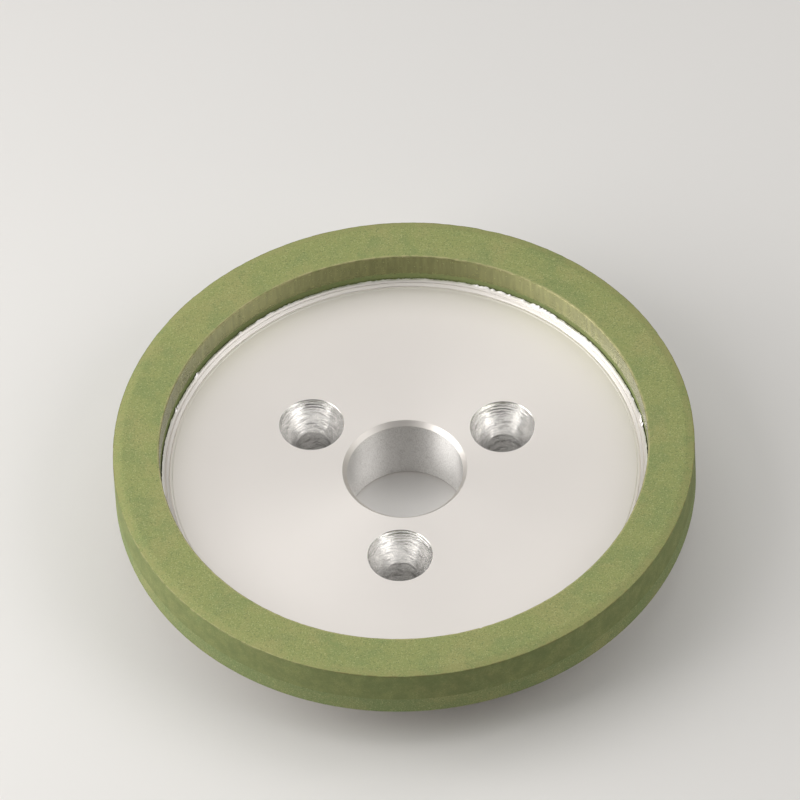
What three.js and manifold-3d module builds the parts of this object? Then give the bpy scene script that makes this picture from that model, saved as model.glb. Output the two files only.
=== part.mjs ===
// Cup-shaped diamond grinding wheel, 150 mm across, for flat and bevel grinding of stone and glass.
// Millimetres. +Z is the spindle axis, z = 0 is the back seat of the hub, and the wheel lies on its back.
import * as THREE from 'three';
import { mergeVertices } from 'three/addons/utils/BufferGeometryUtils.js';
import Module from 'manifold-3d';

// Driving dimensions of the whole wheel
const WHEEL_RADIUS = 75;
const WHEEL_HEIGHT = 30;
const LATHE_STEPS = 72;

// The resin ring: a working layer that holds the diamond, on a plain backing layer
const RIM_WIDTH = 12;
const RIM_INNER_RADIUS = WHEEL_RADIUS - RIM_WIDTH;
const WORKING_DEPTH = 10;
const BACKING_DEPTH = 5.4;
const LAYER_SEAM_Z = WHEEL_HEIGHT - WORKING_DEPTH;
const RIM_BOTTOM_Z = LAYER_SEAM_Z - BACKING_DEPTH;
const SHOULDER_WIDTH = 2.4;
const SHOULDER_DROP = 0.6;
const INNER_EDGE_BREAK = 0.35;
const LOWER_EDGE_BREAK = 0.45;

// The bond line between the resin ring and the core, and the running clearance of the solids
const BOND_THICKNESS = 0.3;
const SOLID_GAP = 0.03;
const BOND_RECESS = 0.6;
const KEY_GROOVE_DEPTH = 0.8;
const KEY_GROOVE_WIDTH = 1.6;
const KEY_GROOVE_Z = 17.2;

// The turned aluminium core
const FACE_Z = 20.4;
const LIP_HEIGHT = 0.9;
const LIP_INNER_RADIUS = 60.7;
const LIP_TOP_WIDTH = 0.25;
const SPIGOT_RADIUS = RIM_INNER_RADIUS - BOND_THICKNESS;
const FLANGE_RADIUS = 70;
const FLANGE_TOP_Z = RIM_BOTTOM_Z - BOND_THICKNESS;
const FLANGE_THICKNESS = 5.7;
const BOSS_RADIUS = 45;
const BOSS_FILLET = 2;
const CORE_EDGE_BREAK = 0.8;

// The spindle bore and the three countersunk screw holes
const BORE_RADIUS = 15;
const BORE_FRONT_CHAMFER = 1.15;
const BORE_BACK_CHAMFER = 0.6;
const SCREW_COUNT = 3;
const SCREW_CIRCLE_RADIUS = 28.5;
const SCREW_FIRST_ANGLE = Math.PI / 6;
const SCREW_HOLE_RADIUS = 4.6;
const SINK_MOUTH_RADIUS = 8.3;
const SINK_DEPTH = 8.6;
const HOLE_STEPS = 40;
const CUT_OVERSHOOT = 2;

const wasm = await Module();
wasm.setup();

// A closed outline of [radius, height] points, turned round the Z axis.
function turned(outline, steps = LATHE_STEPS) {
  const points = [...outline, outline[0]].map(([radius, height]) => new THREE.Vector2(radius, height));
  return new THREE.LatheGeometry(points, steps).rotateX(Math.PI / 2);
}

function toSolid(geometry) {
  const bare = geometry.clone();
  bare.deleteAttribute('normal');
  bare.deleteAttribute('uv');
  const merged = mergeVertices(bare, 1e-4);
  const vertProperties = new Float32Array(merged.attributes.position.array);
  const triVerts = new Uint32Array(merged.index.array);
  return new wasm.Manifold(new wasm.Mesh({ numProp: 3, vertProperties, triVerts }));
}

function toGeometry(solid) {
  const mesh = solid.getMesh();
  const geometry = new THREE.BufferGeometry();
  geometry.setAttribute('position', new THREE.BufferAttribute(mesh.vertProperties, 3));
  geometry.setIndex(new THREE.BufferAttribute(mesh.triVerts, 1));
  geometry.computeVertexNormals();
  return geometry;
}

// One screw hole with its tapered seat, standing on the Z axis, to be cut out of the core.
function screwHoleCutter() {
  const taperBottom = FACE_Z - SINK_DEPTH;
  return turned([
    [0, -CUT_OVERSHOOT],
    [SCREW_HOLE_RADIUS, -CUT_OVERSHOOT],
    [SCREW_HOLE_RADIUS, taperBottom],
    [SINK_MOUTH_RADIUS, FACE_Z],
    [SINK_MOUTH_RADIUS, FACE_Z + CUT_OVERSHOOT],
    [0, FACE_Z + CUT_OVERSHOOT],
  ], HOLE_STEPS);
}

// The core is one turning: hub boss behind, flange under the ring, spigot inside it, lip and bore.
function aluminiumCore() {
  const lipTop = FACE_Z + LIP_HEIGHT;
  const flangeBottom = FLANGE_TOP_Z - FLANGE_THICKNESS;
  const grooveLow = KEY_GROOVE_Z - KEY_GROOVE_WIDTH / 2;
  const grooveHigh = KEY_GROOVE_Z + KEY_GROOVE_WIDTH / 2;
  const grooveFloor = SPIGOT_RADIUS - KEY_GROOVE_DEPTH;
  let core = toSolid(turned([
    [BORE_RADIUS + BORE_BACK_CHAMFER, 0],
    [BOSS_RADIUS - CORE_EDGE_BREAK, 0],
    [BOSS_RADIUS, CORE_EDGE_BREAK],
    [BOSS_RADIUS, flangeBottom - BOSS_FILLET],
    [BOSS_RADIUS + BOSS_FILLET, flangeBottom],
    [FLANGE_RADIUS - CORE_EDGE_BREAK, flangeBottom],
    [FLANGE_RADIUS, flangeBottom + CORE_EDGE_BREAK],
    [FLANGE_RADIUS, FLANGE_TOP_Z],
    [SPIGOT_RADIUS, FLANGE_TOP_Z],
    [SPIGOT_RADIUS, grooveLow],
    [grooveFloor, grooveLow],
    [grooveFloor, grooveHigh],
    [SPIGOT_RADIUS, grooveHigh],
    [SPIGOT_RADIUS, lipTop],
    [SPIGOT_RADIUS - LIP_TOP_WIDTH, lipTop],
    [LIP_INNER_RADIUS, FACE_Z],
    [BORE_RADIUS + BORE_FRONT_CHAMFER, FACE_Z],
    [BORE_RADIUS, FACE_Z - BORE_FRONT_CHAMFER],
    [BORE_RADIUS, BORE_BACK_CHAMFER],
  ]));
  for (let i = 0; i < SCREW_COUNT; i += 1) {
    const angle = SCREW_FIRST_ANGLE + (i * 2 * Math.PI) / SCREW_COUNT;
    const cutter = screwHoleCutter();
    cutter.translate(SCREW_CIRCLE_RADIUS * Math.cos(angle), SCREW_CIRCLE_RADIUS * Math.sin(angle), 0);
    core = core.subtract(toSolid(cutter));
  }
  return toGeometry(core);
}

// The bond line lies on the flange, climbs the spigot, fills its key groove and stops below the lip.
function bondFilm() {
  const inner = SPIGOT_RADIUS + SOLID_GAP;
  const outer = RIM_INNER_RADIUS - SOLID_GAP;
  const low = FLANGE_TOP_Z + SOLID_GAP;
  const high = RIM_BOTTOM_Z - SOLID_GAP;
  const grooveFloor = SPIGOT_RADIUS - KEY_GROOVE_DEPTH + SOLID_GAP;
  const grooveLow = KEY_GROOVE_Z - KEY_GROOVE_WIDTH / 2 + SOLID_GAP;
  const grooveHigh = KEY_GROOVE_Z + KEY_GROOVE_WIDTH / 2 - SOLID_GAP;
  const top = FACE_Z + LIP_HEIGHT - BOND_RECESS;
  return turned([
    [inner, low],
    [FLANGE_RADIUS, low],
    [FLANGE_RADIUS, high],
    [outer, high],
    [outer, top],
    [inner, top],
    [inner, grooveHigh],
    [grooveFloor, grooveHigh],
    [grooveFloor, grooveLow],
    [inner, grooveLow],
  ]);
}

// The backing layer has no diamond in it and carries the working layer on the core.
function backingRing() {
  return turned([
    [RIM_INNER_RADIUS, RIM_BOTTOM_Z],
    [WHEEL_RADIUS - LOWER_EDGE_BREAK, RIM_BOTTOM_Z],
    [WHEEL_RADIUS, RIM_BOTTOM_Z + LOWER_EDGE_BREAK],
    [WHEEL_RADIUS, LAYER_SEAM_Z],
    [RIM_INNER_RADIUS, LAYER_SEAM_Z],
  ]);
}

// The working layer is the grinding rim, with a worn outer shoulder and a broken inner edge.
function diamondRing() {
  const seam = LAYER_SEAM_Z + SOLID_GAP;
  const shoulderStart = WHEEL_RADIUS - SHOULDER_WIDTH;
  return turned([
    [RIM_INNER_RADIUS, seam],
    [WHEEL_RADIUS, seam],
    [WHEEL_RADIUS, WHEEL_HEIGHT - SHOULDER_DROP],
    [shoulderStart + SHOULDER_WIDTH * 0.6, WHEEL_HEIGHT - SHOULDER_DROP * 0.54],
    [shoulderStart, WHEEL_HEIGHT],
    [RIM_INNER_RADIUS + INNER_EDGE_BREAK, WHEEL_HEIGHT],
    [RIM_INNER_RADIUS, WHEEL_HEIGHT - INNER_EDGE_BREAK],
  ]);
}

function piece(name, geometry, color, roughness, metalness) {
  const material = new THREE.MeshStandardMaterial({ color, roughness, metalness });
  const mesh = new THREE.Mesh(geometry, material);
  mesh.name = name;
  return mesh;
}

const wheel = new THREE.Group();
wheel.add(piece('aluminium_core', aluminiumCore(), 0xdedbd7, 0.35, 1));
wheel.add(piece('bond_film', bondFilm(), 0x2f3020, 0.5, 0));
wheel.add(piece('backing_ring', backingRing(), 0x7c8a5e, 0.75, 0));
wheel.add(piece('diamond_ring', diamondRing(), 0x8e9863, 0.8, 0));

export default wheel;
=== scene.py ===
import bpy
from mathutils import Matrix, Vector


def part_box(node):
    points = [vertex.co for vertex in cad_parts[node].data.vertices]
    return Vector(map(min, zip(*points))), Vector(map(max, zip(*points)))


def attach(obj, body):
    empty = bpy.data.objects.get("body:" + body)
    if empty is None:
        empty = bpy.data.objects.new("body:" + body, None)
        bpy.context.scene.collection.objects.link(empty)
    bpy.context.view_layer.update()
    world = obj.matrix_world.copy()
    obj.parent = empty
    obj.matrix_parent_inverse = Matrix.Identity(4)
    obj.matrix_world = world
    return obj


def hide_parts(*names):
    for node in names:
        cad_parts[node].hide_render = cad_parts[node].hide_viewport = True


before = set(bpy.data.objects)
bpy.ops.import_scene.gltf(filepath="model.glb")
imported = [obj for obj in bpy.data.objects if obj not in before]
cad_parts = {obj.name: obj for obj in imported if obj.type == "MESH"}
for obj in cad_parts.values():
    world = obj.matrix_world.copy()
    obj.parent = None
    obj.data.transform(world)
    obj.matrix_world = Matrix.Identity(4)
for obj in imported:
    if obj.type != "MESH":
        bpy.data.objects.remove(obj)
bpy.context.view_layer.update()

import math
import bmesh
import bpy
import numpy as np
from mathutils import Matrix, Vector

mm = 0.001
print("frame loaded with nodes", ", ".join(sorted(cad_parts)))

# heights and radii that the frame already fixes, in metres
rimBox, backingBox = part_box("diamond_ring"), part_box("backing_ring")
bondBox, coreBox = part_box("bond_film"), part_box("aluminium_core")
wheelRadius, wheelTop = rimBox[1][0], rimBox[1][2]
seamHeight, backingFoot = backingBox[1][2], backingBox[0][2]
bondFoot, bondTop = bondBox[0][2], bondBox[1][2]
flangeRadius, lipHeight = coreBox[1][0], coreBox[1][2]
rimWidth, bondThickness = 12 * mm, 0.3 * mm
rimInner = wheelRadius - rimWidth
spigotRadius = rimInner - bondThickness


# shape helpers

def arcPoints(centre, radius, startDeg, endDeg, count):
    # point on a circle: centre + radius * (cos a, sin a), with a running evenly from start to end
    a = np.radians(np.linspace(startDeg, endDeg, count))
    return np.column_stack([centre[0] + radius * np.cos(a), centre[1] + radius * np.sin(a)])


def linePoints(start, end, count=2):
    # straight line: start + t * (end - start), t from 0 to 1
    t = np.linspace(0, 1, count)[:, None]
    return np.asarray(start) + t * (np.asarray(end) - np.asarray(start))


def joinRuns(*runs):
    # runs of points end to end as one closed outline, with doubled joints dropped
    points = np.vstack([np.asarray(run, float) for run in runs])
    apart = np.linalg.norm(points - np.roll(points, 1, 0), axis=1) > 1e-8
    return points[apart]


def smoothStep(low, high, value):
    # 0 below low, 1 above high, and 3t^2 - 2t^3 between them
    t = np.clip((value - low) / (high - low), 0, 1)
    return t * t * (3 - 2 * t)


def bellCurve(value, centre, width):
    # bell curve: exp(-((value - centre) / width)^2)
    return np.exp(-((value - centre) / width) ** 2)


def angleFrom(a, degrees):
    # signed distance in degrees round the circle from a chosen direction
    return (np.degrees(a) - degrees + 180) % 360 - 180


def softNoise(shape, grain, seed):
    # seeded white noise blurred by a Gaussian in the Fourier domain, so it wraps round without a seam;
    # grain is the blur's length in samples along each axis, and the result has mean 0 and spread 1
    white = np.random.default_rng(seed).standard_normal(shape)
    fu = np.fft.fftfreq(shape[0])[:, None] * grain[0]
    fv = np.fft.fftfreq(shape[1])[None, :] * grain[1]
    soft = np.fft.ifft2(np.fft.fft2(white) * np.exp(-2 * np.pi ** 2 * (fu ** 2 + fv ** 2))).real
    soft -= soft.mean()
    return soft / soft.std()


def turnSurface(outline, steps, relief=None):
    # body of revolution: each outline point (r, z) is moved by relief(a, r, z) along its outward normal
    # and placed at (r cos a, r sin a, z) for every angle a
    ahead = np.roll(outline, -1, 0)
    if np.sum(outline[:, 0] * ahead[:, 1] - ahead[:, 0] * outline[:, 1]) < 0:
        outline = outline[::-1]
    tangent = np.roll(outline, -1, 0) - np.roll(outline, 1, 0)
    normal = np.column_stack([tangent[:, 1], -tangent[:, 0]])
    normal /= np.linalg.norm(normal, axis=1, keepdims=True)
    a = np.linspace(0, 2 * np.pi, steps, endpoint=False)[:, None]
    r, z = outline[None, :, 0] + 0 * a, outline[None, :, 1] + 0 * a
    if relief:
        lift = relief(a, r, z)
        r, z = r + lift * normal[None, :, 0], z + lift * normal[None, :, 1]
    return np.stack([r * np.cos(a), r * np.sin(a), z], axis=-1)


def gridMesh(name, points):
    # points is an (around, along, 3) array closed both ways; each cell becomes one four-sided face
    around, along = points.shape[:2]
    u, v = [g.ravel() for g in np.meshgrid(np.arange(around), np.arange(along), indexing="ij")]
    un, vn = (u + 1) % around, (v + 1) % along
    corners = np.column_stack([u * along + v, un * along + v, un * along + vn, u * along + vn])
    mesh = bpy.data.meshes.new(name)
    mesh.vertices.add(around * along)
    mesh.vertices.foreach_set("co", points.reshape(-1).astype(np.float32))
    mesh.loops.add(corners.size)
    mesh.loops.foreach_set("vertex_index", corners.ravel().astype(np.int32))
    mesh.polygons.add(len(corners))
    mesh.polygons.foreach_set("loop_start", np.arange(0, corners.size, 4, dtype=np.int32))
    mesh.update(calc_edges=True)
    piece = bpy.data.objects.new(name, mesh)
    bpy.context.scene.collection.objects.link(piece)
    return piece


def shadeByAngle(piece, degrees):
    mesh = piece.data
    mesh.polygons.foreach_set("use_smooth", np.ones(len(mesh.polygons), bool))
    mesh.set_sharp_from_angle(angle=math.radians(degrees))
    mesh.update()


# shader helpers

class Field:
    # one varying value in a finish; arithmetic on it adds the Math node that it needs
    def __init__(self, finish, socket):
        self.finish, self.socket = finish, socket

    def math(self, operation, *values):
        return self.finish.node("ShaderNodeMath", {"operation": operation}, dict(enumerate(values)))

    def __add__(self, other):
        return self.math("ADD", self, other)

    def __radd__(self, other):
        return self.math("ADD", other, self)

    def __sub__(self, other):
        return self.math("SUBTRACT", self, other)

    def __rsub__(self, other):
        return self.math("SUBTRACT", other, self)

    def __mul__(self, other):
        return self.math("MULTIPLY", self, other)

    def __rmul__(self, other):
        return self.math("MULTIPLY", other, self)

    def __truediv__(self, other):
        return self.math("DIVIDE", self, other)

    def __pow__(self, other):
        return self.math("POWER", self, other)

    def step(self, low, high):
        # smooth change from 0 at low to 1 at high
        values = {"Value": self, "From Min": low, "From Max": high}
        return self.finish.node("ShaderNodeMapRange", {"interpolation_type": "SMOOTHSTEP"}, values)

    def band(self, low, high, soft):
        # 1 between low and high, falling to 0 over soft on each side
        return self.step(low - soft, low) * (1 - self.step(high, high + soft))


class Finish:
    # a material whose nodes are added one by one; constants go straight on the shader's own sockets
    def __init__(self, name, constants):
        self.material = bpy.data.materials.new(name)
        self.material.use_nodes = True
        self.tree = self.material.node_tree
        self.shader = self.tree.nodes["Principled BSDF"]
        for socket, value in constants.items():
            self.shader.inputs[socket].default_value = value
        self.place = self.node("ShaderNodeTexCoord", out="Object")
        split = self.node("ShaderNodeSeparateXYZ", values={0: self.place}).socket.node
        self.x, self.y, self.z = [Field(self, out) for out in split.outputs]
        self.radius = (self.x * self.x + self.y * self.y) ** 0.5
        self.east, self.north = self.x / self.radius, self.y / self.radius

    def node(self, kind, settings=None, values=None, out=0):
        made = self.tree.nodes.new(kind)
        for setting, value in (settings or {}).items():
            setattr(made, setting, value)
        for socket, value in (values or {}).items():
            if isinstance(value, Field):
                self.tree.links.new(value.socket, made.inputs[socket])
            else:
                made.inputs[socket].default_value = value
        return Field(self, made.outputs[out])

    def vector(self, x, y, z):
        return self.node("ShaderNodeCombineXYZ", values={0: x, 1: y, 2: z})

    def noise(self, size, where=None, detail=2.0, rough=0.5, twist=0.0):
        # cloudy value between 0 and 1 whose lumps are about size across
        values = {"Vector": where or self.place, "Scale": 1 / size, "Detail": detail, "Roughness": rough,
                  "Distortion": twist}
        return self.node("ShaderNodeTexNoise", {}, values)

    def mix(self, amount, first, second):
        colours = {6: first, 7: second}
        values = {0: amount, **{k: c if isinstance(c, Field) else (*c, 1) for k, c in colours.items()}}
        return self.node("ShaderNodeMix", {"data_type": "RGBA"}, values, out=2)

    def feed(self, socket, value):
        self.tree.links.new(value.socket, self.shader.inputs[socket])

    def bump(self, height, distance, strength=1.0):
        values = {"Strength": strength, "Distance": distance, "Height": height}
        self.feed("Normal", self.node("ShaderNodeBump", {}, values))

    def dress(self, piece):
        piece.data.materials.clear()
        piece.data.materials.append(self.material)


# camera and light

shot = {
    "lens": 675.0,           # a very long lens, so the wheel is seen almost without perspective
    "distance": 3.8625,
    "azimuth": 4.83,
    "elevation": 51.02,
    "roll": -3.14,
    "aimRight": -0.9 * mm,   # where the lens points, from the middle of the rim's top plane
    "aimUp": 11.7 * mm,
}


def placeCamera():
    a, e, roll = [math.radians(shot[k]) for k in ("azimuth", "elevation", "roll")]
    level = Vector((math.cos(a), math.sin(a), 0))
    ahead = Vector((-math.sin(a) * math.cos(e), math.cos(a) * math.cos(e), -math.sin(e)))
    upright = level.cross(ahead)
    right = level * math.cos(roll) + upright * math.sin(roll)
    up = upright * math.cos(roll) - level * math.sin(roll)
    aim = Vector((0, 0, wheelTop)) + right * shot["aimRight"] + up * shot["aimUp"]
    camera = bpy.data.objects.new("camera", bpy.data.cameras.new("camera"))
    camera.data.lens, camera.data.sensor_width = shot["lens"], 36.0
    camera.data.clip_start, camera.data.clip_end = 0.1, 40.0
    turn = Matrix((right, up, -ahead)).transposed()
    camera.matrix_world = Matrix.Translation(aim - ahead * shot["distance"]) @ turn.to_4x4()
    bpy.context.scene.collection.objects.link(camera)
    bpy.context.scene.camera = camera


studio = {
    "floorColour": (0.80, 0.79, 0.775),
    "floorHalfWidth": 6.0,
    "sky": (0.93, 0.95, 1.0),
    "skyStrength": 0.015,
    "lampColour": (1.0, 0.985, 0.965),
    "aimHeight": 20 * mm,
    # name: azimuth seen from the wheel (0 is towards the camera's side, clockwise from above), elevation,
    # distance, width, height, watts
    "boxes": {
        "back": (180, 52, 0.9, 1.8, 0.5, 1.85),
        "backHigh": (180, 70, 0.9, 1.0, 0.35, 1.05),
        "top": (180, 88, 0.8, 0.7, 0.5, 0.90),
        "left": (78, 43, 0.7, 0.6, 0.5, 2.35),
        "leftLow": (78, 18, 0.6, 0.5, 0.3, 1.75),
        "right": (-80, 44, 0.8, 0.6, 0.5, 2.2),
    },
}


def hangSoftbox(name, azimuth, elevation, distance, width, height, watts):
    a, e = math.radians(azimuth), math.radians(elevation)
    away = Vector((-math.sin(a) * math.cos(e), -math.cos(a) * math.cos(e), math.sin(e)))
    lamp = bpy.data.lights.new("softbox_" + name, "AREA")
    lamp.shape, lamp.size, lamp.size_y, lamp.energy = "RECTANGLE", width, height, watts
    lamp.color = studio["lampColour"]
    box = bpy.data.objects.new(lamp.name, lamp)
    box.location = Vector((0, 0, studio["aimHeight"])) + away * distance
    box.rotation_mode = "QUATERNION"
    box.rotation_quaternion = away.to_track_quat("Z", "Y")
    bpy.context.scene.collection.objects.link(box)


def setStudio():
    world = bpy.data.worlds.new("studio_air")
    world.use_nodes = True
    air = world.node_tree.nodes["Background"]
    air.inputs[0].default_value = (*studio["sky"], 1)
    air.inputs[1].default_value = studio["skyStrength"]
    bpy.context.scene.world = world
    bpy.context.scene.view_settings.view_transform = "Standard"
    for name, values in studio["boxes"].items():
        hangSoftbox(name, *values)
    half = studio["floorHalfWidth"]
    corners = [(-half, -half, 0), (half, -half, 0), (half, half, 0), (-half, half, 0)]
    mesh = bpy.data.meshes.new("studio_floor")
    mesh.from_pydata(corners, [], [(0, 1, 2, 3)])
    floor = bpy.data.objects.new("studio_floor", mesh)
    bpy.context.scene.collection.objects.link(floor)
    paper = Finish("pale_paper", {"Roughness": 0.9})
    tone = paper.noise(0.4, detail=3)
    shaded = [c * 0.985 for c in studio["floorColour"]]
    paper.feed("Base Color", paper.mix(tone, studio["floorColour"], shaded))
    paper.dress(floor)


placeCamera()
setStudio()
print("camera and studio ready")


# resin ring: working layer on its backing layer

rim = {
    "steps": 1200,
    "shoulderWidth": 2.4 * mm,
    "shoulderDrop": 0.6 * mm,
    "innerBreak": 0.35 * mm,
    "footBreak": 0.45 * mm,
    "grain": 0.010 * mm,
    "rag": 0.035 * mm,
    # places of knocks: direction in degrees, radius, height below the top, length, width, depth
    "knocks": [
        (208.5, 74.2, 0.2, 2.6, 0.35, 0.10),
        (290.6, 63.1, 0.1, 0.35, 0.35, 0.22),
        (79.5, 63.2, 0.1, 1.4, 0.45, 0.16),
        (84.0, 63.2, 0.1, 0.8, 0.35, 0.12),
    ],
}


def workingOutline():
    # up the inner wall, over the broken edge, out along the grinding face, down the shoulder and the side
    edge, top = rim["innerBreak"], wheelTop
    shoulderStart = wheelRadius - rim["shoulderWidth"]
    t = np.linspace(0, 1, 12)
    # the shoulder falls as t^1.2, so it leaves the face almost level and meets the side at a clear edge
    fall = rim["shoulderDrop"] * t ** 1.2
    shoulder = np.column_stack([shoulderStart + rim["shoulderWidth"] * t, top - fall])
    return joinRuns(
        linePoints((rimInner, seamHeight), (rimInner, top - edge), 24),
        arcPoints((rimInner + edge, top - edge), edge, 180, 90, 5),
        linePoints((rimInner + edge, top), (shoulderStart, top), 20),
        shoulder,
        linePoints((wheelRadius, top - rim["shoulderDrop"]), (wheelRadius, seamHeight), 18),
        linePoints((wheelRadius, seamHeight), (rimInner, seamHeight), 3),
    )


def backingOutline():
    foot, edge, top = backingFoot, rim["footBreak"], seamHeight - 0.01 * mm
    return joinRuns(
        linePoints((rimInner, foot), (rimInner, top), 3),
        linePoints((rimInner, top), (wheelRadius, top), 3),
        linePoints((wheelRadius, top), (wheelRadius, foot + edge), 12),
        arcPoints((wheelRadius - edge, foot + edge), edge, 0, -90, 5),
        linePoints((wheelRadius - edge, foot), (rimInner, foot), 8),
    )


def rimRelief(a, r, z):
    # the surface only ever sinks: grain everywhere, ragged edges, and a hollow for each knock
    grain = np.abs(softNoise(r.shape, (1.1, 0.8), 11)) * rim["grain"]
    ragged = np.abs(softNoise(r.shape, (2.5, 1.2), 12)) * rim["rag"]
    drop = rim["shoulderDrop"]
    inner = bellCurve(np.hypot(r - rimInner, z - wheelTop), 0, 0.5 * mm)
    outer = bellCurve(np.hypot(r - wheelRadius, z - wheelTop + drop), 0, 0.6 * mm)
    sunk = grain + ragged * (inner + outer)
    for degrees, radius, below, length, width, depth in rim["knocks"]:
        along = np.radians(angleFrom(a, degrees)) * radius * mm
        across = np.hypot(r - radius * mm, z - wheelTop + below * mm)
        sunk = sunk + depth * mm * bellCurve(along, 0, length * mm) * bellCurve(across, 0, width * mm)
    return -sunk


def makeRim():
    working = gridMesh("grinding_rim", turnSurface(workingOutline(), rim["steps"], rimRelief))
    backing = gridMesh("backing_band", turnSurface(backingOutline(), rim["steps"], rimRelief))
    parts = (
        (working, "diamond_ring", "diamond_resin"),
        (backing, "backing_ring", "backing_resin"),
    )
    for piece, node, slot in parts:
        shadeByAngle(piece, 40)
        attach(piece, "root")
        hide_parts(node)
    return working, backing


resin = {
    "sage": (0.292, 0.326, 0.121),
    "tan": (0.345, 0.338, 0.140),
    "moss": (0.205, 0.272, 0.105),
    "paleGrit": (0.50, 0.52, 0.25),
    # pale colour for the painted highlight on the left of the crease
    "crease": (0.50, 0.48, 0.24),
    "darkGrit": (0.140, 0.180, 0.075),
    # pale tan for the inner top edge: real rubbing and a painted highlight
    "rubbedEdgeAndHighlight": (0.46, 0.43, 0.22),
    "brownWear": (0.225, 0.180, 0.070),
    "burnished": (0.258, 0.258, 0.112),
    # darker side colour: painted shade of the outer side, and its mottling
    "sideMottleAndPaintedShade": (0.175, 0.208, 0.078),
    "backing": (0.225, 0.275, 0.112),
    "cloud": 13 * mm,
    "brushy": 1.5 * mm,
    "gritSize": 0.36 * mm,
    "speckSize": 0.9 * mm,
    # how far each pattern pulls the colour its own way, from 0 to 1
    "cloudPull": 0.65,
    "patchPull": 0.48,
    "brushPull": 0.35,
    "palePull": 0.52,
    "speckPull": 0.45,
    "darkPull": 0.60,
    # rubbed inner wall, and painted shade over the whole inner wall
    "rubbedBorder": 1.5 * mm,   # height of its lower border above the lip
    "rubbedRag": 2.2 * mm,
    "rubbedMetal": 0.55,
    "wallPaintedShade": 0.45,
    "rubbedPull": 0.8,
    # worn edges with painted edge highlights, and painted shade on the outer side
    "creasePull": 0.65,
    "outerWearPull": 0.55,
    "innerWearAndHighlightPull": 0.8,
    "sidePaintedShade": 0.35,
    "sidePatches": 0.50,
}


def shifted(finish, offset):
    # the same place moved by a fixed offset, so that a second noise doesn't repeat the first
    return finish.node("ShaderNodeVectorMath", {"operation": "ADD"}, {0: finish.place, 1: offset})


def resinFinish(name, deep):
    # mottled green bond with pale and dark grit; deep is the colour that the clouds are mixed with
    finish = Finish(name, {"Specular IOR Level": 0.3})
    cloud = finish.noise(resin["cloud"], detail=4, rough=0.6, twist=0.5)
    patch = finish.noise(resin["cloud"] * 0.6, shifted(finish, (0.2, 0.4, 0.1)), detail=3, rough=0.6)
    brushy = finish.noise(resin["brushy"], detail=3, rough=0.7, twist=1.2)
    colour = finish.mix(cloud.step(0.44, 0.68) * resin["cloudPull"], deep, resin["tan"])
    colour = finish.mix(patch.step(0.46, 0.66) * resin["patchPull"], colour, resin["moss"])
    colour = finish.mix(brushy.step(0.50, 0.72) * resin["brushPull"], colour, resin["tan"])
    colour = finish.mix((1 - brushy).step(0.50, 0.72) * resin["brushPull"], colour, resin["moss"])
    pale = finish.noise(resin["gritSize"], detail=1, rough=0.8)
    dark = finish.noise(resin["gritSize"] * 1.2, shifted(finish, (0.31, 0.17, 0.09)), detail=1, rough=0.8)
    specks = finish.noise(resin["speckSize"], shifted(finish, (0.07, 0.21, 0.33)), detail=2, rough=0.7)
    colour = finish.mix(pale.step(0.54, 0.72) * resin["palePull"], colour, resin["paleGrit"])
    colour = finish.mix(specks.step(0.68, 0.76) * resin["speckPull"], colour, resin["paleGrit"])
    colour = finish.mix(dark.step(0.54, 0.72) * resin["darkPull"], colour, resin["darkGrit"])
    return finish, colour, pale


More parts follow.
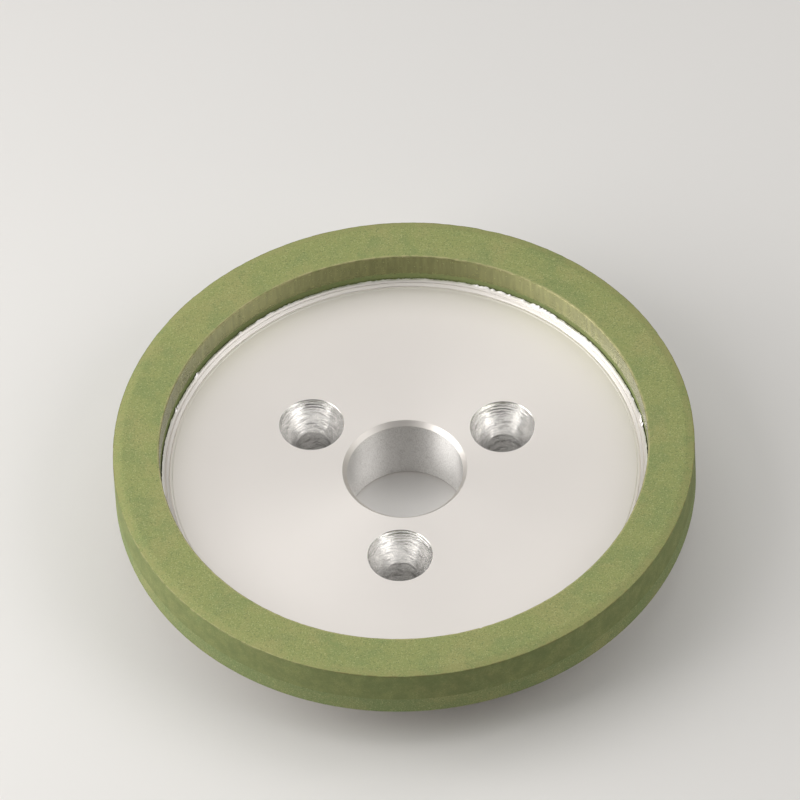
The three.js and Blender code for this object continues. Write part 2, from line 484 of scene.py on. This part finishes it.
def workingFinish():
    finish, colour, pale = resinFinish("diamond_bond", resin["sage"])
    top, outer, inner = wheelTop, wheelRadius, rimInner
    wall = 1 - finish.radius.step(inner + 0.05 * mm, inner + 0.25 * mm)
    roundWall = finish.vector(finish.east, finish.north, finish.z * 1.5)
    streak = finish.noise(0.014, roundWall, detail=4, rough=0.65)
    ragged = finish.noise(1.1 * mm, detail=3, rough=0.7)
    # the upper part of the wall is rubbed smooth by the dressing tool, with a ragged lower border
    border = lipHeight + resin["rubbedBorder"]
    upper = (finish.z + (ragged - 0.5) * resin["rubbedRag"]).step(border, border + 0.6 * mm)
    burnish = wall * upper * (1 - ragged.step(0.62, 0.75) * 0.7)
    lightBurnish = [c * 1.45 for c in resin["burnished"]]
    # the whole inner wall is pulled towards darker moss green: painted shade of the recess
    colour = finish.mix(wall * resin["wallPaintedShade"], colour, resin["moss"])
    burnished = finish.mix(streak.step(0.36, 0.72), resin["burnished"], lightBurnish)
    colour = finish.mix(burnish * resin["rubbedPull"], colour, burnished)
    # wear along both top edges, with painted highlights on the crease's left side and on the inner edge
    wearAndHighlightNoise = finish.noise(1.8 * mm, detail=4, rough=0.7)
    nearTop = finish.z.step(top - 1.2 * mm, top - 0.7 * mm)
    outerWear = finish.radius.step(outer - 2.6 * mm, outer - 0.9 * mm) * nearTop
    colour = finish.mix(outerWear * wearAndHighlightNoise.step(0.35, 0.6) * resin["outerWearPull"], colour, resin["tan"])
    crease = finish.radius.step(outer - 0.35 * mm, outer - 0.12 * mm)
    crease = crease * finish.z.band(top - 0.95 * mm, top - 0.45 * mm, 0.2 * mm)
    # the crease is brown wear round the front and right, and a pale painted highlight on the left, the side
    # the light comes from
    leftward = (finish.east * -0.707 + finish.north * -0.707).step(0.80, 0.95)
    creaseWearAndHighlightTone = finish.mix(leftward, resin["brownWear"], resin["crease"])
    colour = finish.mix(crease * wearAndHighlightNoise.step(0.42, 0.56) * resin["creasePull"], colour, creaseWearAndHighlightTone)
    # pale band along the inner top edge: partly real rubbing, partly painted highlight
    innerEdgeWearAndHighlight = 1 - finish.radius.step(inner + 0.35 * mm, inner + 0.6 * mm)
    innerEdgeWearAndHighlight = innerEdgeWearAndHighlight * finish.z.step(top - 0.6 * mm, top - 0.3 * mm)
    innerEdgeWearAndHighlight = innerEdgeWearAndHighlight * wearAndHighlightNoise.step(0.32, 0.58) * resin["innerWearAndHighlightPull"]
    colour = finish.mix(innerEdgeWearAndHighlight, colour, resin["rubbedEdgeAndHighlight"])
    # outer side: painted shade over the whole side, and darker mottling in faint patches, closer together
    # down the side than round it
    side = finish.radius.step(outer - 0.14 * mm, outer - 0.06 * mm)
    downward = finish.vector(finish.east, finish.north, finish.z * 12.0)
    stripe = finish.noise(0.05, downward, detail=4, rough=0.7)
    paintedShadeAndPatches = resin["sidePaintedShade"] + stripe.step(0.30, 0.70) * resin["sidePatches"]
    colour = finish.mix(side * paintedShadeAndPatches, colour, resin["sideMottleAndPaintedShade"])
    finish.feed("Base Color", colour)
    # the rubbed part of the wall shines, so it is made partly metallic and smoother than the rest
    finish.feed("Metallic", burnish * resin["rubbedMetal"])
    finish.feed("Roughness", 0.84 - burnish * (0.56 + 0.10 * streak))
    height = pale + ragged * 0.5
    finish.bump(height * (1 - burnish * 0.75), 0.045 * mm, 0.8)
    return finish


def backingFinish():
    finish, colour, pale = resinFinish("backing_bond", resin["backing"])
    finish.feed("Base Color", colour)
    finish.feed("Roughness", 0.78 + pale * 0.08)
    finish.bump(pale, 0.04 * mm, 0.7)
    return finish


workingRim, backingBand = makeRim()
workingFinish().dress(workingRim)
backingFinish().dress(backingBand)
print("resin ring made:", len(workingRim.data.polygons) + len(backingBand.data.polygons), "faces")


# bond line between the ring and the core

bond = {
    "steps": 720,
    "gap": 0.02 * mm,
    "sink": 0.02 * mm,
    "beadInset": 0.1 * mm,
    "topFall": 0.15 * mm,
    "dark": (0.020, 0.020, 0.012),
    "pale": (0.055, 0.055, 0.030),
}


def bondRelief(a, r, z):
    # cured adhesive sinks a little in places: -|noise| * sink
    return -np.abs(softNoise(r.shape, (4, 1), 31)) * bond["sink"]


def makeBond():
    gap, beadStart = bond["gap"], flangeRadius - bond["beadInset"]
    inner, outer = spigotRadius + gap, rimInner - gap
    low, high = bondFoot, backingFoot - gap
    outline = joinRuns(
        linePoints((inner, low), (beadStart, low), 4),
        # the squeezed-out bead at the flange's edge is a half round
        arcPoints((beadStart, (low + high) / 2), (high - low) / 2, -90, 90, 7),
        linePoints((outer, high), (outer, bondTop), 4),
        linePoints((inner, bondTop - bond["topFall"]), (inner, low), 4),
    )
    piece = gridMesh("bond_line", turnSurface(outline, bond["steps"], bondRelief))
    shadeByAngle(piece, 50)
    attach(piece, "root")
    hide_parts("bond_film")
    finish = Finish("bond_resin_dark", {})
    tone = finish.noise(2 * mm, detail=3)
    finish.feed("Base Color", finish.mix(tone, bond["dark"], bond["pale"]))
    finish.feed("Roughness", 0.35 + tone * 0.3)
    finish.bump(tone, 0.05 * mm)
    finish.dress(piece)


makeBond()
print("bond line made")


# turned aluminium core

core = {
    "steps": 360,
    "faceDrop": 0.9 * mm,
    "boreRadius": 15 * mm,
    "mouthChamfer": 1.15 * mm,
    "backChamfer": 0.6 * mm,
    "bossRadius": 45 * mm,
    "bossFillet": 2 * mm,
    "flangeThickness": 5.7 * mm,
    "edgeBreak": 0.8 * mm,
    "seatCircle": 28.5 * mm,
    "seatAngles": (30, 150, 270),
    "holeRadius": 4.6 * mm,
    "seatMouth": 8.3 * mm,
    "seatDepth": 8.6 * mm,
    "seatBreak": 0.12 * mm,
    "boreFeed": 0.62 * mm,      # pitch of the boring tool's spiral
    "boreMark": 0.0045 * mm,
    "chatterPitch": 0.74 * mm,  # spacing of the countersink's chatter rings
    "chatterDepth": 0.040 * mm,
    "stepBelowFace": 12 * mm,   # where the boring bar's step starts
    "stepDepth": 0.012 * mm,
    "seatSteps": 120,
    # scribed line and V groove: radius and height above the face, in mm
    "scribedLine": [(59.95, 0), (60.05, -0.06), (60.15, 0)],
    "lipGroove": [(60.62, 0), (60.75, -0.16), (60.86, 0.08)],
    # the lip's cone in two stretches with one more groove between them
    "lipLow": [(60.9, 0.1), (61.62, 0.43)],
    "upperGroove": [(61.74, 0.32), (61.86, 0.54)],
    "lipHighStart": (61.9, 0.56),
}
faceHeight = lipHeight - core["faceDrop"]


def aboveFace(points):
    # millimetres above the face to metres in the frame: (radius * mm, face + height * mm)
    return [(radius * mm, faceHeight + height * mm) for radius, height in points]


def coreOutline():
    bore, mouth, back = core["boreRadius"], core["mouthChamfer"], core["backChamfer"]
    face, lip, outer = faceHeight, lipHeight, spigotRadius
    flangeTop = bondFoot - 0.03 * mm
    flangeLow = flangeTop - core["flangeThickness"]
    boss, fillet, edge = core["bossRadius"], core["bossFillet"], core["edgeBreak"]
    return joinRuns(
        linePoints((bore, back), (bore, face - mouth), 96),
        linePoints((bore, face - mouth), (bore + mouth, face), 5),
        [(r * mm, face) for r in (16.3, 16.7, 17.5, 30, 45, 55, 58.5, 59.4)],
        aboveFace(core["scribedLine"]),
        aboveFace(core["lipGroove"]),
        linePoints(*aboveFace(core["lipLow"]), 6),
        aboveFace(core["upperGroove"]),
        linePoints(aboveFace([core["lipHighStart"]])[0], (outer - 0.22 * mm, lip - 0.03 * mm), 6),
        [(outer - 0.08 * mm, lip)],
        linePoints((outer, lip - 0.05 * mm), (outer, flangeTop), 8),
        linePoints((outer, flangeTop), (flangeRadius, flangeTop), 4),
        linePoints((flangeRadius, flangeTop), (flangeRadius, flangeLow + edge), 8),
        linePoints((flangeRadius - edge, flangeLow), (boss + fillet, flangeLow), 6),
        arcPoints((boss + fillet, flangeLow - fillet), fillet, 90, 180, 9),
        linePoints((boss, flangeLow - fillet), (boss, edge), 6),
        linePoints((boss - edge, 0), (bore + back, 0), 8),
    )


def coreRelief(a, r, z):
    # bore: spiral of the boring tool, depth * sin(2 pi (z / feed + a / 2 pi)), with a faint step low down;
    # lip: fine ripple and a little waviness of its height
    lift = np.zeros_like(r)
    bore = (r < core["boreRadius"] + 1e-6) & (z > 1.2 * mm) & (z < faceHeight - 1.4 * mm)
    spiral = np.sin(2 * np.pi * z / core["boreFeed"] + a)
    lift += np.where(bore, core["boreMark"] * spiral * (0.6 + 0.4 * np.sin(3 * a + z / (3 * mm))), 0)
    # one pass of the boring bar stopped part way down and left a shallow step
    stop = faceHeight - core["stepBelowFace"] + core["boreFeed"] * a / (2 * np.pi)
    lift -= np.where(bore, core["stepDepth"] * smoothStep(-0.25 * mm, 0.25 * mm, z - stop), 0)
    lip = (r > 60.8 * mm) & (r < spigotRadius) & (z > faceHeight + 0.05 * mm)
    ripple = softNoise(r.shape, (40, 0.5), 41) * 0.010 * mm
    ripple += softNoise(r.shape, (1.5, 0.6), 42) * 0.008 * mm
    return lift + np.where(lip, ripple, 0)


def seatOutline():
    # half section of the drill and its tapered cutter, measured from the hole's own axis
    hole, mouth, face = core["holeRadius"], core["seatMouth"], faceHeight
    taperLow, edge = face - core["seatDepth"], core["seatBreak"]
    return joinRuns(
        [(0.0, -2 * mm)],
        linePoints((hole, -2 * mm), (hole, taperLow), 40),
        linePoints((hole, taperLow), (mouth, face - edge), 56),
        [(mouth + edge, face), (mouth + edge, face + 2 * mm), (0.0, face + 2 * mm)],
    )


def seatRelief(phase):
    def relief(a, r, z):
        # taper: chatter rings, depth * sin(2 pi z / pitch + wobble round the axis); hole: drill rings
        taper = smoothStep(faceHeight - core["seatDepth"], faceHeight - core["seatDepth"] + 0.5 * mm, z)
        taper = taper * (1 - smoothStep(faceHeight - 0.6 * mm, faceHeight - 0.3 * mm, z))
        hole = (r > 1 * mm) & (z < faceHeight - core["seatDepth"] - 0.1 * mm) & (z > 0.5 * mm)
        rings = np.sin(2 * np.pi * z / core["chatterPitch"] + 0.9 * np.sin(2 * a + phase) + phase)
        lobes = np.sin(11 * a + 2 * np.pi * z / (4 * mm) + phase)
        drill = np.sin(2 * np.pi * z / (0.9 * mm) + a)
        broken = np.clip(0.6 + 0.5 * softNoise(r.shape, (5, 2), 60 + int(phase)), 0, 1.4)
        lift = core["chatterDepth"] * (rings * broken + 0.3 * lobes) * taper
        return lift + np.where(hole, 0.05 * mm * drill * broken, 0)
    return relief


def makeSeatCutter(degrees, phase):
    angle = math.radians(degrees)
    cutter = gridMesh("seat_cutter", turnSurface(seatOutline(), core["seatSteps"], seatRelief(phase)))
    shaped = bmesh.new()
    shaped.from_mesh(cutter.data)
    bmesh.ops.remove_doubles(shaped, verts=shaped.verts, dist=1e-7)
    shaped.to_mesh(cutter.data)
    shaped.free()
    circle = core["seatCircle"]
    cutter.data.transform(Matrix.Translation((circle * math.cos(angle), circle * math.sin(angle), 0)))
    return cutter


def makeCore(turned, bored, seat):
    piece = gridMesh("wheel_core", turnSurface(coreOutline(), core["steps"], coreRelief))
    turned.dress(piece)
    piece.data.materials.append(bored.material)
    # the bore's wall takes the second material
    for face in piece.data.polygons:
        if math.hypot(face.center.x, face.center.y) < core["boreRadius"] + 0.1 * mm:
            face.material_index = 1
    for i, degrees in enumerate(core["seatAngles"]):
        cutter = makeSeatCutter(degrees, 1.7 * i)
        seat.dress(cutter)
        cut = piece.modifiers.new("seat", "BOOLEAN")
        cut.operation = "DIFFERENCE"
        cut.solver = "EXACT"
        cut.material_mode = "TRANSFER"
        cut.object = cutter
        graph = bpy.context.evaluated_depsgraph_get()
        done = bpy.data.meshes.new_from_object(piece.evaluated_get(graph))
        piece.modifiers.clear()
        piece.data = done
        bpy.data.objects.remove(cutter)
    shadeByAngle(piece, 28)
    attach(piece, "root")
    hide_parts("aluminium_core")
    return piece


metal = {
    "tone": (0.910, 0.875, 0.842),
    "fresh": (0.965, 0.955, 0.940),
    "stain": (0.60, 0.58, 0.56),
    "dull": (0.42, 0.41, 0.40),
    "torn": (0.95, 0.945, 0.94),
    # spread of light across the turning marks, and the quarter turn that sets it across and not along
    "faceSpread": 0.38,
    "boreSpread": 0.9,
    "acrossMarks": 0.25,
    "faceRoughness": 0.50,
    "boreRoughness": 0.46,
    "seatRoughness": 0.14,
    "burrRoughness": 0.38,
}


def turnedFinish():
    # lathe lines are a noise that changes only with radius on the flats and only with height on the walls
    spread = {"Anisotropic": metal["faceSpread"], "Anisotropic Rotation": metal["acrossMarks"]}
    finish = Finish("turned_aluminium", {"Metallic": 1.0, **spread})
    lines = finish.noise(0.22 * mm, finish.vector(finish.radius, finish.z * 1.4, 0.0), detail=2, rough=0.6)
    broad = finish.noise(3 * mm, finish.vector(finish.radius, finish.z, 0.0), detail=2)
    smear = finish.noise(18 * mm, detail=3, rough=0.6)
    scuff = finish.noise(1.2 * mm, detail=4, rough=0.7)
    finish.feed("Base Color", finish.mix(smear, metal["tone"], [c * 0.98 for c in metal["tone"]]))
    finish.feed("Roughness", metal["faceRoughness"] + smear * 0.05 + scuff * 0.03)
    finish.bump(lines + broad * 0.5, 0.004 * mm, 1.0)
    return finish


def boreFinish():
    # close boring marks spread light far up and down the wall and little round it
    spread = {"Anisotropic": metal["boreSpread"], "Anisotropic Rotation": metal["acrossMarks"]}
    finish = Finish("bored_aluminium", {"Metallic": 1.0, **spread})
    blotch = finish.noise(2.6 * mm, finish.vector(finish.x, finish.y, finish.z * 1.6), detail=4, rough=0.65)
    grain = finish.noise(0.3 * mm, detail=3, rough=0.7)
    threads = finish.noise(0.34 * mm, finish.vector(0.0, 0.0, finish.z), detail=2, rough=0.6)
    colour = finish.mix(blotch.step(0.55, 0.75) * 0.35, metal["fresh"], metal["stain"])
    finish.feed("Base Color", finish.mix(grain.step(0.40, 0.65) * 0.55, colour, metal["stain"]))
    finish.feed("Roughness", metal["boreRoughness"] + blotch * 0.08)
    finish.bump(threads + grain * 1.5, 0.015 * mm, 1.0)
    return finish


def seatFinish():
    # rings change mostly with height, so the taper spreads light down its slope and stays sharp round it
    finish = Finish("countersunk_aluminium", {"Metallic": 0.88})
    rings = finish.noise(0.16 * mm, finish.vector(0.0, 0.0, finish.z), detail=2, rough=0.7)
    scratch = finish.noise(0.5 * mm, detail=3, rough=0.65)
    drawnOut = finish.vector(finish.x * 0.22, finish.y * 0.22, finish.z)
    chatter = finish.noise(0.75 * mm, drawnOut, detail=3, rough=0.75)
    hole = 1 - finish.z.step(faceHeight - core["seatDepth"] - 0.1 * mm, faceHeight - core["seatDepth"])
    dull = chatter.step(0.51, 0.61) * (0.47 + hole * 0.28)
    finish.feed("Base Color", finish.mix(dull, metal["fresh"], metal["dull"]))
    finish.feed("Roughness", metal["seatRoughness"] + scratch * 0.10 + dull * 0.12)
    finish.bump(rings * (1 + hole * 4) + scratch * (0.15 + hole * 2), 0.05 * mm, 1.0)
    return finish


burr = {
    "steps": 2400,
    "root": 0.42 * mm,
    "thin": 0.07 * mm,
    "low": 0.02,                # height of the fin between the stretches, in mm
    # ragged stretches left by the facing tool: direction and half width in degrees, tallest sliver in mm
    "stretches": [
        (70, 7, 0.28), (56, 7, 0.26), (44, 5, 0.14), (15.2, 2.4, 0.60), (24, 3, 0.18),
        (162.8, 1.0, 0.70), (151.8, 0.8, 0.60), (134.8, 0.7, 0.50), (128, 9, 0.12), (95, 12, 0.08),
    ],
}


def makeBurr(finish):
    # thin torn fin on the lip's outer edge: at each angle a four-point section from its root in the lip to
    # a tip at height (low + sum of tall * exp(-|angle from the stretch / half width|^3)) * torn noise
    steps = burr["steps"]
    a = np.linspace(0, 2 * np.pi, steps, endpoint=False)
    torn = softNoise((steps, 1), (5, 1), 51)[:, 0]
    fine = softNoise((steps, 1), (1.4, 1), 52)[:, 0]
    torn = np.clip(0.65 + 0.40 * torn + 0.28 * fine, 0.02, 1.6)
    height = np.full(steps, burr["low"]) * torn
    for degrees, spread, tall in burr["stretches"]:
        height = height + tall * np.exp(-np.abs(angleFrom(a, degrees) / spread) ** 3) * torn
    height = height * mm
    lean = np.clip(0.25 * height + 0.05 * mm * fine, -0.1 * mm, 0.24 * mm)
    edge, top = spigotRadius, lipHeight
    zero = np.zeros(steps)
    r = np.stack([edge - burr["root"] + zero, edge - 0.01 * mm + zero,
                  edge + lean, edge + lean - burr["thin"] - 0.1 * height], 1)
    z = np.stack([top - 0.02 * mm + zero, top - 0.25 * mm + zero,
                  top + height, top + height * 0.9 + 0.01 * mm], 1)
    points = np.stack([r * np.cos(a)[:, None], r * np.sin(a)[:, None], z], -1)
    piece = gridMesh("lip_burr", points)
    shadeByAngle(piece, 30)
    finish.dress(piece)
    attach(piece, "root")
    return piece


def burrFinish():
    finish = Finish("torn_aluminium", {"Metallic": 1.0})
    grain = finish.noise(0.25 * mm, detail=3, rough=0.7)
    finish.feed("Base Color", finish.mix(grain, metal["tone"], metal["torn"]))
    finish.feed("Roughness", metal["burrRoughness"] + grain * 0.2)
    finish.bump(grain, 0.03 * mm)
    return finish


wheelCore = makeCore(turnedFinish(), boreFinish(), seatFinish())
lipBurr = makeBurr(burrFinish())
print("core made:", len(wheelCore.data.polygons), "faces, burr:", len(lipBurr.data.polygons))
